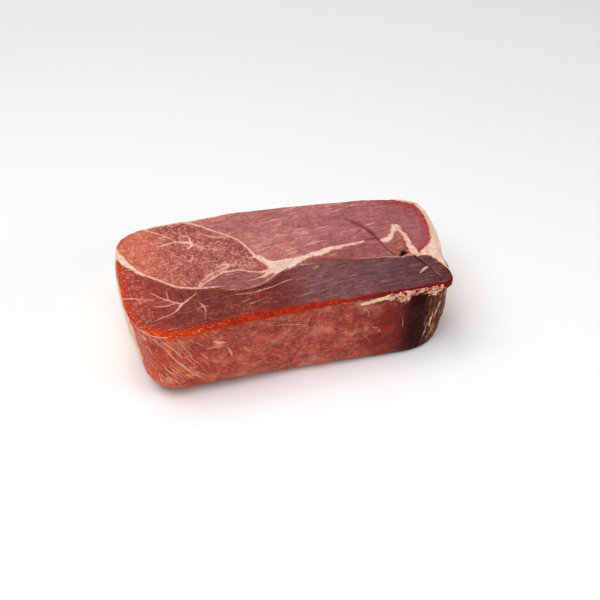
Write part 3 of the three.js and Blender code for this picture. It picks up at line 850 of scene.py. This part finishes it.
def cut_meat_colour(wiring, groups, tones, sizes, place, lines):
    """The muscles of the cut face, from left to right along the block, with their mottling, streaks and flecks."""
    along = along_block(wiring, place)
    muscle = wiring.node("SeparateColor", {0: wiring.attribute("muscle", "Color")}).outputs
    front, band, left = muscle[0], muscle[1], muscle[2]
    not_left = wiring.math("SUBTRACT", 1.0, left)

    meat = wiring.ramp(along, [(0.35, tones.back_left), (0.95, tones.back_right)])
    # Towards its right the front muscle's plum tones carry a painted sheen.
    meat = wiring.blend(front, meat, wiring.ramp(along, [
        (0.03, tones.front_left), (0.17, tones.front_middle), (0.42, tones.front_middle),
        (0.58, tones.front_dry_and_sheen), (0.8, tones.front_plum_and_sheen), (0.95, tones.front_tip)]))
    meat = wiring.blend(band, meat, wiring.ramp(along, [(0.42, tones.band_left), (0.72, tones.band_right)]))
    meat = wiring.blend(left, meat, wiring.ramp(along, [(0.04, tones.left_edge), (0.24, tones.left_heart)]))
    meat = wiring.blend(wiring.attribute("muscle", "Alpha"), meat, (*tones.knuckle, 1))
    meat = mottled(wiring, groups, place, meat, [(21, 0.12, 0.08), (6, 0.12, 0.1), (1.9, 0.2, 0.16)])

    dark_lines = wiring.math("MULTIPLY", wiring.step(lines, 0.45, 0.33), not_left)
    meat = marked(wiring, dark_lines, 0.3, meat, tones.fold)
    pale_lines = wiring.math("MULTIPLY", wiring.step(lines, 0.56, 0.7), not_left)
    meat = marked(wiring, pale_lines, 0.14, meat, tones.thin_fat)
    sloping = turned(wiring, place, "Z", math.radians(-9))
    elsewhere = wiring.math("MAXIMUM", wiring.math("MAXIMUM", front, left), wiring.math("MULTIPLY", band, 0.7))
    gathered = wiring.math("MULTIPLY", wiring.step(elsewhere, 0.0, 1.0, 0.34, 0.012), wiring.step(
        wiring.noise(place, 0.045), 0.4, 0.6, 0.12, 1.0))
    gathered = wiring.math("MULTIPLY", gathered, wiring.step(along, 0.62, 0.76, 1.0, 0.2))
    for length_across, strength in (((17.0, 1.8), 0.6), ((7.0, 1.4), 0.4)):
        streaks = wiring.use(groups["streaks"], {
            "Place": sloping, "Length": length_across[0], "Width": length_across[1], "Amount": gathered})
        meat = marked(wiring, streaks, strength, meat, tones.streak)

    front_fleck = wiring.ramp(along, [(0.03, tones.fleck), (0.1, tones.front_fleck)])
    fleck = wiring.blend(front, (*tones.fleck, 1), front_fleck)
    amount = wiring.math("MULTIPLY", front, wiring.step(along, 0.3, 0.62, 0.36, 0.0))
    amount = wiring.math("ADD", amount, wiring.math("MULTIPLY", left, 0.42))
    amount = wiring.math("MULTIPLY_ADD", wiring.attribute("marbling"), 0.22, amount)
    for times, strength in ((0.85, 0.46), (1.9, 0.4)):
        flecks = wiring.use(groups["flecks"], {
            "Place": place, "Size": times * sizes.fleck / MM, "Amount": amount})
        meat = wiring.blend(wiring.math("MULTIPLY", flecks, strength), meat, fleck)
    dots = wiring.use(groups["streaks"], {"Place": place, "Length": 2.6, "Width": 1.9, "Amount": amount})
    return wiring.blend(wiring.math("MULTIPLY", dots, 0.5), meat, fleck)


def cut_face_material(tones, sizes, groups):
    """The cut muscles with their red edge and its painted glow, folds with painted shade, and fat seams."""
    material, wiring = new_material("cut meat")
    place = place_in_mm(wiring)
    lines = wiring.use(groups["fibres"], {
        "Place": turned(wiring, place, "Z", math.radians(-4)), "Length": 13.0, "Width": 1.4})
    meat = cut_meat_colour(wiring, groups, tones, sizes, place, lines)

    along = along_block(wiring, place)
    # The red edge: the meat's own red with painted glow of light through the thin rim, mottled and specked.
    red = wiring.ramp(along, [
        (0.08, tones.red_and_glow_left), (0.3, tones.red_and_glow_middle), (0.6, tones.red_and_glow_middle), (0.8, tones.red_and_glow_right)])
    muscle = wiring.node("SeparateColor", {0: wiring.attribute("muscle", "Color")}).outputs
    back = wiring.math("MULTIPLY", wiring.step(along, 0.5, 0.6), wiring.math("SUBTRACT", 1.0, muscle[0]))
    red = wiring.blend(back, red, (*tones.red_back, 1))
    red = mottled(wiring, groups, place, red, [(8, 0.3, 0.06), (1.8, 0.45, 0.16)])
    bits = wiring.use(groups["streaks"], {
        "Place": place, "Length": 2, "Width": 1.2, "Amount": wiring.step(along, 0.1, 0.34, 0.34, -0.02)})
    red = marked(wiring, bits, 0.4, red, tones.sinew)
    speckle = wiring.step(wiring.noise(place, 0.8, detail=4.0, rough=0.7), 0.35, 0.6, 0.35, 1.0)
    speckle = wiring.math("MAXIMUM", speckle, wiring.step(wiring.attribute("red"), 0.5, 0.95))
    meat = wiring.blend(wiring.math("MULTIPLY", wiring.attribute("red"), speckle), meat, red)
    # Painted shade: the folds darken towards the fold tone, and the gap and the deepest folds go near black.
    fold = wiring.attribute("fold")
    meat = wiring.blend(fold, meat, (*tones.fold, 1))
    meat = marked(wiring, wiring.step(fold, 0.78, 0.95), 0.95, meat, tones.gap)

    seams, inside = seam_mask(wiring, place, 0.9)
    edge = wiring.math("MULTIPLY_ADD", wiring.noise(place, 0.6, detail=3.0), 2.4, -1.2)
    patch = wiring.math("ADD", wiring.attribute("patch"), edge)
    deep = wiring.step(wiring.math("MAXIMUM", inside, patch), -0.1, 1.3)
    fat_tone = wiring.blend(deep, (*tones.thin_fat, 1), (*tones.fat, 1))
    fat_tone = mottled(wiring, groups, place, fat_tone, [(5, 0.2, 0.05), (1.8, 0.14, 0.05)])
    outer = wiring.math("MAXIMUM", wiring.attribute("slope"), wiring.step(along, 0.93, 0.965, 0.0, 0.6))
    fat_tone = wiring.blend(outer, fat_tone, rind_colour(wiring, groups, tones, place))
    fat = wiring.math("MAXIMUM", wiring.math("MULTIPLY", seams, 0.9), wiring.step(patch, -0.4, 0.5))
    fat = wiring.math("MULTIPLY", fat, wiring.step(fold, 0.75, 0.35))
    colour = wiring.blend(fat, meat, fat_tone)

    grain = wiring.math("MULTIPLY_ADD", lines, 0.6, wiring.noise(place, 0.9, detail=4.0, rough=0.6))
    roughness = wiring.step(wiring.noise(place, 0.25, detail=3.0), 0.3, 0.7, 0.32, 0.5)
    gloss = wiring.step(wiring.math("MAXIMUM", fold, wiring.attribute("red")), 0.1, 0.8, 0.22, 0.04)
    finish_shader(wiring, colour, roughness, gloss, grain, 0.25 * MM)
    return material


def side_meat_colour(wiring, groups, tones, sizes, place, dried, lines):
    """The carved front, from the fresh left to the nearly black right end, with fibres, flecks, sinews and painted
    highlights at the right end.
    """
    along = along_block(wiring, place)
    meat = wiring.ramp(along, [
        (0.05, tones.side_left), (0.3, tones.side_middle), (0.6, tones.side_middle), (0.75, tones.side_right),
        (0.83, tones.side_end)])
    meat = mottled(wiring, groups, place, meat, [(15, 0.24, 0.16), (5, 0.24, 0.16), (1.5, 0.18, 0.15)])
    haze = wiring.step(wiring.noise(place, 0.07, detail=3.0), 0.5, 0.72)
    meat = marked(wiring, wiring.math("MULTIPLY", haze, wiring.step(along, 0.8, 0.65)), 0.3, meat, tones.thin_fat)
    fresh = wiring.step(along, 0.72, 0.6)
    at_left = wiring.step(along, 0.28, 0.16)
    meat = marked(wiring, wiring.step(lines, 0.45, 0.3), 0.32, meat, tones.fold)

    steep = turned(wiring, place, "Y", math.radians(-58))
    streaked = wiring.math("MULTIPLY", at_left, wiring.step(along, 0.015, 0.05, 0.0, 0.22))
    for length_across, strength in (((40.0, 1.0), 0.6), ((24.0, 0.8), 0.45)):
        streaks = wiring.use(groups["streaks"], {
            "Place": steep, "Length": length_across[0], "Width": length_across[1], "Amount": streaked})
        meat = marked(wiring, streaks, strength, meat, tones.sinew)
    for slope in (-25, 12, 70):
        streaks = wiring.use(groups["streaks"], {
            "Place": turned(wiring, place, "Y", math.radians(slope)), "Length": 5.0, "Width": 0.9,
            "Amount": wiring.math("MULTIPLY", wiring.math("SUBTRACT", fresh, at_left), 0.3)})
        meat = marked(wiring, streaks, 0.26, meat, tones.thin_fat)
    flecks = wiring.use(groups["flecks"], {
        "Place": place, "Size": 1.2 * sizes.fleck / MM, "Amount": wiring.math("MULTIPLY_ADD", fresh, 0.34, 0.02)})
    meat = marked(wiring, flecks, 0.16, meat, tones.thin_fat)
    specks = wiring.step(wiring.noise(place, 0.75, detail=3.0, rough=0.7), 0.56, 0.66)
    meat = marked(wiring, wiring.math("MULTIPLY", specks, wiring.attribute("marbling")), 0.8, meat, tones.rind)
    corner = wiring.math("MULTIPLY", dried, wiring.step(along, 0.85, 0.9))
    upright = wiring.use(groups["fibres"], {
        "Place": turned(wiring, place, "Y", math.radians(76)), "Length": 11.0, "Width": 1.3})
    crest = wiring.math("MULTIPLY_ADD", wiring.attribute("ridges"), 0.5, wiring.math("MULTIPLY", upright, 2.0))
    meat = marked(wiring, corner, 0.2, meat, tones.wrinkle)
    # On the wrinkles' crests their own yellow brown, and on the highest crests a pale painted highlight.
    meat = marked(wiring, wiring.math("MULTIPLY", corner, wiring.step(crest, 0.9, 1.55)), 0.65, meat, tones.wrinkle)
    meat = marked(wiring, wiring.math("MULTIPLY", corner, wiring.step(crest, 1.35, 1.65)), 0.4, meat, tones.crumb_and_highlight)
    meat = mottled(wiring, groups, place, meat, [(7, 0.16, 0.06)])
    sinews, _ = seam_mask(wiring, place, 0.8)
    # Towards the right end the lines turn cream: there they are painted highlights.
    sinew = wiring.blend(wiring.step(along, 0.66, 0.85), (*tones.sinew, 1), (*tones.crumb_and_highlight, 1))
    return wiring.blend(wiring.math("MULTIPLY", sinews, 0.85), meat, sinew)


def outside_material(tones, sizes, groups):
    """The carved front, its dried right end with crust and wrinkles, and the rind round the rest."""
    material, wiring = new_material("ham outside")
    place = place_in_mm(wiring)
    along = along_block(wiring, place)
    rind, dried, crust = wiring.parts(wiring.attribute("outside", "Vector"))[:3]
    ridges = wiring.attribute("ridges")
    steep, level = (wiring.use(groups["fibres"], {
        "Place": turned(wiring, place, "Y", math.radians(slope)), "Length": 14.0, "Width": 1.4}) for slope in (-57, -4))
    share = wiring.step(along, 0.2, 0.36)
    lines = wiring.node("Mix", {0: share, 2: steep, 3: level}).outputs[0]
    meat = side_meat_colour(wiring, groups, tones, sizes, place, dried, lines)

    # The red turned down over the rim and on the left end: the meat's own red with painted glow.
    red = wiring.ramp(along, [(0.05, tones.red_and_glow_left), (0.4, tones.red_and_glow_middle), (0.75, tones.red_and_glow_right)])
    red = mottled(wiring, groups, place, red, [(4, 0.25, 0.1), (1.6, 0.3, 0.15)])
    meat = wiring.blend(wiring.attribute("red"), meat, red)
    crumbly = wiring.step(along, 0.73, 0.76)
    grains = wiring.noise(place, 1.1, detail=3.0, rough=0.7)
    crust_tone = wiring.ramp(wiring.math("MULTIPLY_ADD", ridges, 0.45, grains), [
        (0.27, tones.side_right), (0.4, tones.wrinkle), (0.5, tones.crust), (0.82, tones.crumb_and_highlight)])
    crust_tone = mottled(wiring, groups, place, crust_tone, [(4, 0.24, 0.06), (1.2, 0.2, 0.1)])
    smooth_strip = mottled(wiring, groups, place, (*tones.crust_fat, 1), [(3, 0.14, 0.05)])
    crust_tone = wiring.blend(crumbly, smooth_strip, crust_tone)
    meat = wiring.blend(wiring.step(crust, 0.3, 0.7), meat, crust_tone)

    ragged = wiring.noise(place, 0.45, detail=4.0, rough=0.65)
    inside = wiring.math("ADD", rind, wiring.math("MULTIPLY_ADD", ragged, 5.0, -2.5))
    thin = wiring.math("MULTIPLY", wiring.step(inside, 6.0, 0.0), 0.5)
    fat = wiring.blend(thin, rind_colour(wiring, groups, tones, place), meat)
    colour = wiring.blend(wiring.step(inside, -0.4, 0.5), meat, fat)

    grain = wiring.math("MULTIPLY_ADD", lines, 0.8, wiring.noise(place, 0.7, detail=4.0, rough=0.65))
    roughness = wiring.step(wiring.noise(place, 0.2, detail=3.0), 0.3, 0.7, 0.3, 0.5)
    corner = wiring.math("MULTIPLY", dried, wiring.step(along, 0.85, 0.9))
    shine = wiring.math("MULTIPLY", corner, wiring.step(ridges, 0.0, 0.5))
    gloss = wiring.math("MULTIPLY_ADD", shine, 0.14, wiring.step(dried, 0.0, 1.0, 0.14, 0.03))
    gloss = wiring.step(rind, 0.0, 1.0, gloss, 0.22)
    finish_shader(wiring, colour, wiring.math("MULTIPLY_ADD", corner, -0.1, roughness), gloss, grain, 0.35 * MM)
    return material


class HAM_OT_block(bpy.types.Operator):
    """Make the block of ham around its solid, with its relief and its two finishes"""

    bl_idname = "ham.block"
    bl_label = "Ham block"

    def execute(self, context):
        scene = context.scene
        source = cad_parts.get(HAM)
        if source is None:
            raise RuntimeError("the frame has no node of ham to dress")
        piece = divided_copy(source, "cured_ham")
        shape_relief(Points(piece.data), scene.ham_sizes)
        groups = make_groups()
        for material in (cut_face_material, outside_material):
            piece.data.materials.append(material(scene.ham_colours, scene.ham_sizes, groups))
        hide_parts(HAM)
        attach(piece, "root")
        return {"FINISHED"}


def soft_light(name, place, size, power):
    """A square light that shines at the block from a place in metres."""
    light = bpy.data.lights.new(name, "AREA")
    light.size = size
    light.energy = power
    lamp = bpy.data.objects.new(name, light)
    lamp.location = place
    lamp.rotation_euler = (-Vector(place)).to_track_quat("-Z", "Y").to_euler()
    bpy.context.scene.collection.objects.link(lamp)


class HAM_OT_stage(bpy.types.Operator):
    """Set up the pale floor, the soft lights and the camera"""

    bl_idname = "ham.stage"
    bl_label = "Studio stage"

    def execute(self, context):
        scene, stage = context.scene, context.scene.ham_stage
        bm = bmesh.new()
        bmesh.ops.create_grid(bm, x_segments=1, y_segments=1, size=stage.floor / 2)
        mesh = bpy.data.meshes.new("floor")
        bm.to_mesh(mesh)
        bm.free()
        floor = bpy.data.objects.new("floor", mesh)
        scene.collection.objects.link(floor)
        material, wiring = new_material("pale floor")
        shader = wiring.node("BsdfPrincipled", {"Base Color": (*stage.floor_tone, 1), "Roughness": 0.9})
        shader.inputs["Specular IOR Level"].default_value = 0.1
        out = wiring.node("OutputMaterial")
        wiring.tree.links.new(shader.outputs[0], out.inputs[0])
        mesh.materials.append(material)

        world = bpy.data.worlds.new("studio")
        world.use_nodes = True
        sky = world.node_tree.nodes["Background"]
        sky.inputs["Color"].default_value = (1, 1, 1, 1)
        sky.inputs["Strength"].default_value = stage.sky
        scene.world = world
        scene.view_settings.view_transform = "Standard"
        soft_light("overhead", (-0.35, -0.15, 1.1), 0.9, stage.key)
        soft_light("side", (0.9, -0.5, 0.5), 0.4, stage.side)

        camera = bpy.data.cameras.new("camera")
        camera.lens = stage.lens
        camera.sensor_width = 36
        camera.clip_end = 50
        view = bpy.data.objects.new("camera", camera)
        turned = (
            Matrix.Rotation(-stage.turn, 4, "Z") @ Matrix.Rotation(math.pi / 2 - stage.tilt, 4, "X")
            @ Matrix.Rotation(stage.roll, 4, "Z"))
        view.matrix_world = Matrix.Translation(stage.aim) @ turned @ Matrix.Translation((0, 0, stage.distance))
        scene.collection.objects.link(view)
        scene.camera = view
        return {"FINISHED"}


OPERATORS = (HAM_OT_block, HAM_OT_stage)


class HAM_PT_panel(bpy.types.Panel):
    """Lists what makes the ham and the stage, with the sizes and colours they use"""

    bl_idname = "HAM_PT_panel"
    bl_label = "Cured ham block"
    bl_space_type = "VIEW_3D"
    bl_region_type = "UI"
    bl_category = "Ham"

    def draw(self, context):
        for operator in OPERATORS:
            self.layout.operator(operator.bl_idname)
        for settings in (context.scene.ham_sizes, context.scene.ham_colours, context.scene.ham_stage):
            column = self.layout.column()
            for name in settings.__annotations__:
                column.prop(settings, name)


SETTINGS = {"ham_sizes": HamSizes, "ham_colours": HamColours, "ham_stage": HamStage}


def register():
    for cls in (*SETTINGS.values(), *OPERATORS, HAM_PT_panel):
        bpy.utils.register_class(cls)
    for name, cls in SETTINGS.items():
        setattr(bpy.types.Scene, name, PointerProperty(type=cls))


def unregister():
    for name in SETTINGS:
        delattr(bpy.types.Scene, name)
    for cls in (HAM_PT_panel, *reversed(OPERATORS), *reversed(SETTINGS.values())):
        bpy.utils.unregister_class(cls)


def main():
    register()
    bpy.ops.ham.block()
    bpy.ops.ham.stage()


if __name__ == "__main__":
    main()
